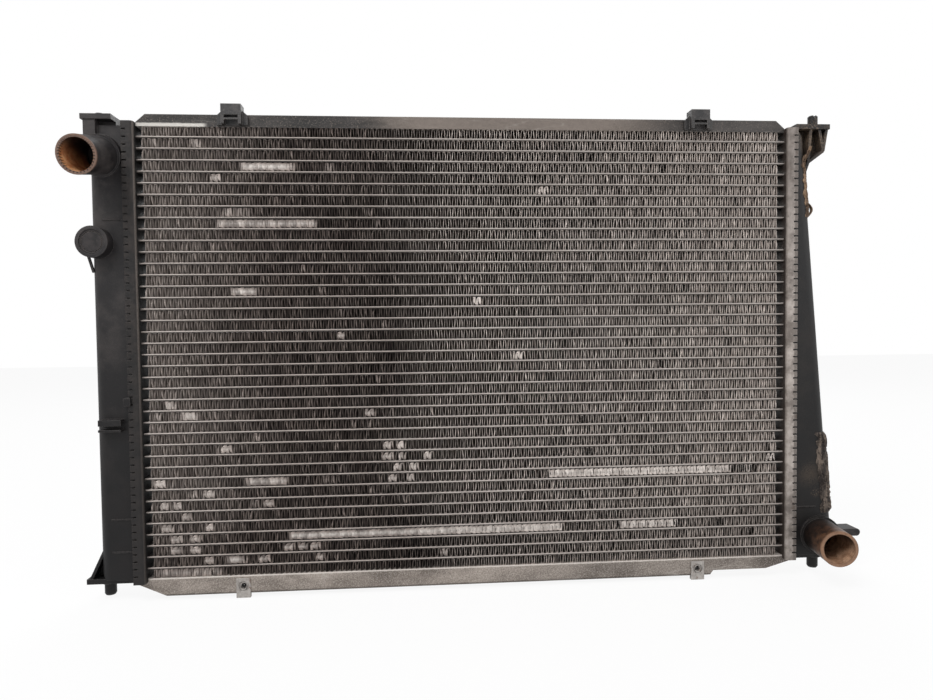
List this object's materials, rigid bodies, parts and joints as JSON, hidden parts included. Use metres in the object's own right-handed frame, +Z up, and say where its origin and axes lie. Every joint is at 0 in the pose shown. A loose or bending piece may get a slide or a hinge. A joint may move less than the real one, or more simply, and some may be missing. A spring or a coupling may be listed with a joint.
{
  "type": "car radiator",
  "caption": "Crossflow car radiator: finned aluminium core between crimped plastic end tanks, with hose necks, mounting pins, fan shroud fixings and a drain plug that unscrews.",
  "frame": {"origin": "midway between the two lower mounting pins, in the plane of the pads that they stand on", "axes": "+X from the inlet tank to the outlet tank, +Y through the core away from the hose necks, +Z up"},
  "size_m": [0.7181, 0.0844, 0.437],
  "materials": {
    "core_alloy": "satin, grey with road dust",
    "fin_alloy": "dull, brown-grey with dirt between the fins",
    "header_dark": "dull, stained dark brown",
    "header_bare": "satin, weathered bare metal",
    "plate_dark": "dull dark grey",
    "plate_bare": "satin, weathered bare metal",
    "gasket_rubber": "matte",
    "tank_plastic": "satin black, glass filled",
    "plug_plastic": "satin black",
    "clip_plastic": "matte charcoal",
    "nut_steel": "zinc plated, scratched",
    "foam": "perished brown foam"
  },
  "bodies": {
    "radiator": {"core_tubes": "core_alloy", "fin_strips": "fin_alloy", "inlet_header": "header_dark", "outlet_header": "header_bare", "inlet_gasket": "gasket_rubber", "outlet_gasket": "gasket_rubber", "inlet_tank": "tank_plastic", "outlet_tank": "tank_plastic", "top_side_plate": "plate_dark", "bottom_side_plate": "plate_bare", "shroud_clip_left": "clip_plastic", "shroud_clip_right": "clip_plastic", "clip_nut_left": "nut_steel", "clip_nut_right": "nut_steel", "port_plug": "plug_plastic", "port_seal": "gasket_rubber", "seal_strip_upper": "foam", "seal_strip_lower": "foam"},
    "drain_seal": {"drain_seal": "gasket_rubber"},
    "drain_plug": {"drain_plug": "plug_plastic"}
  },
  "joints": [
    {"name": "drain_travel", "type": "slide", "parent": "radiator", "child": "drain_seal", "axis": [1, 0, 0], "range_m": [0, 0.004]},
    {"name": "drain_turn", "type": "hinge", "parent": "drain_seal", "child": "drain_plug", "pos_m": [0.34806, 0, 0.0243], "axis": [1, 0, 0], "range_deg": [0, 720]}
  ],
  "couplings": [
    {"joint": "drain_turn", "follows": "drain_travel", "rad_per_m": 3141.5}
  ]
}
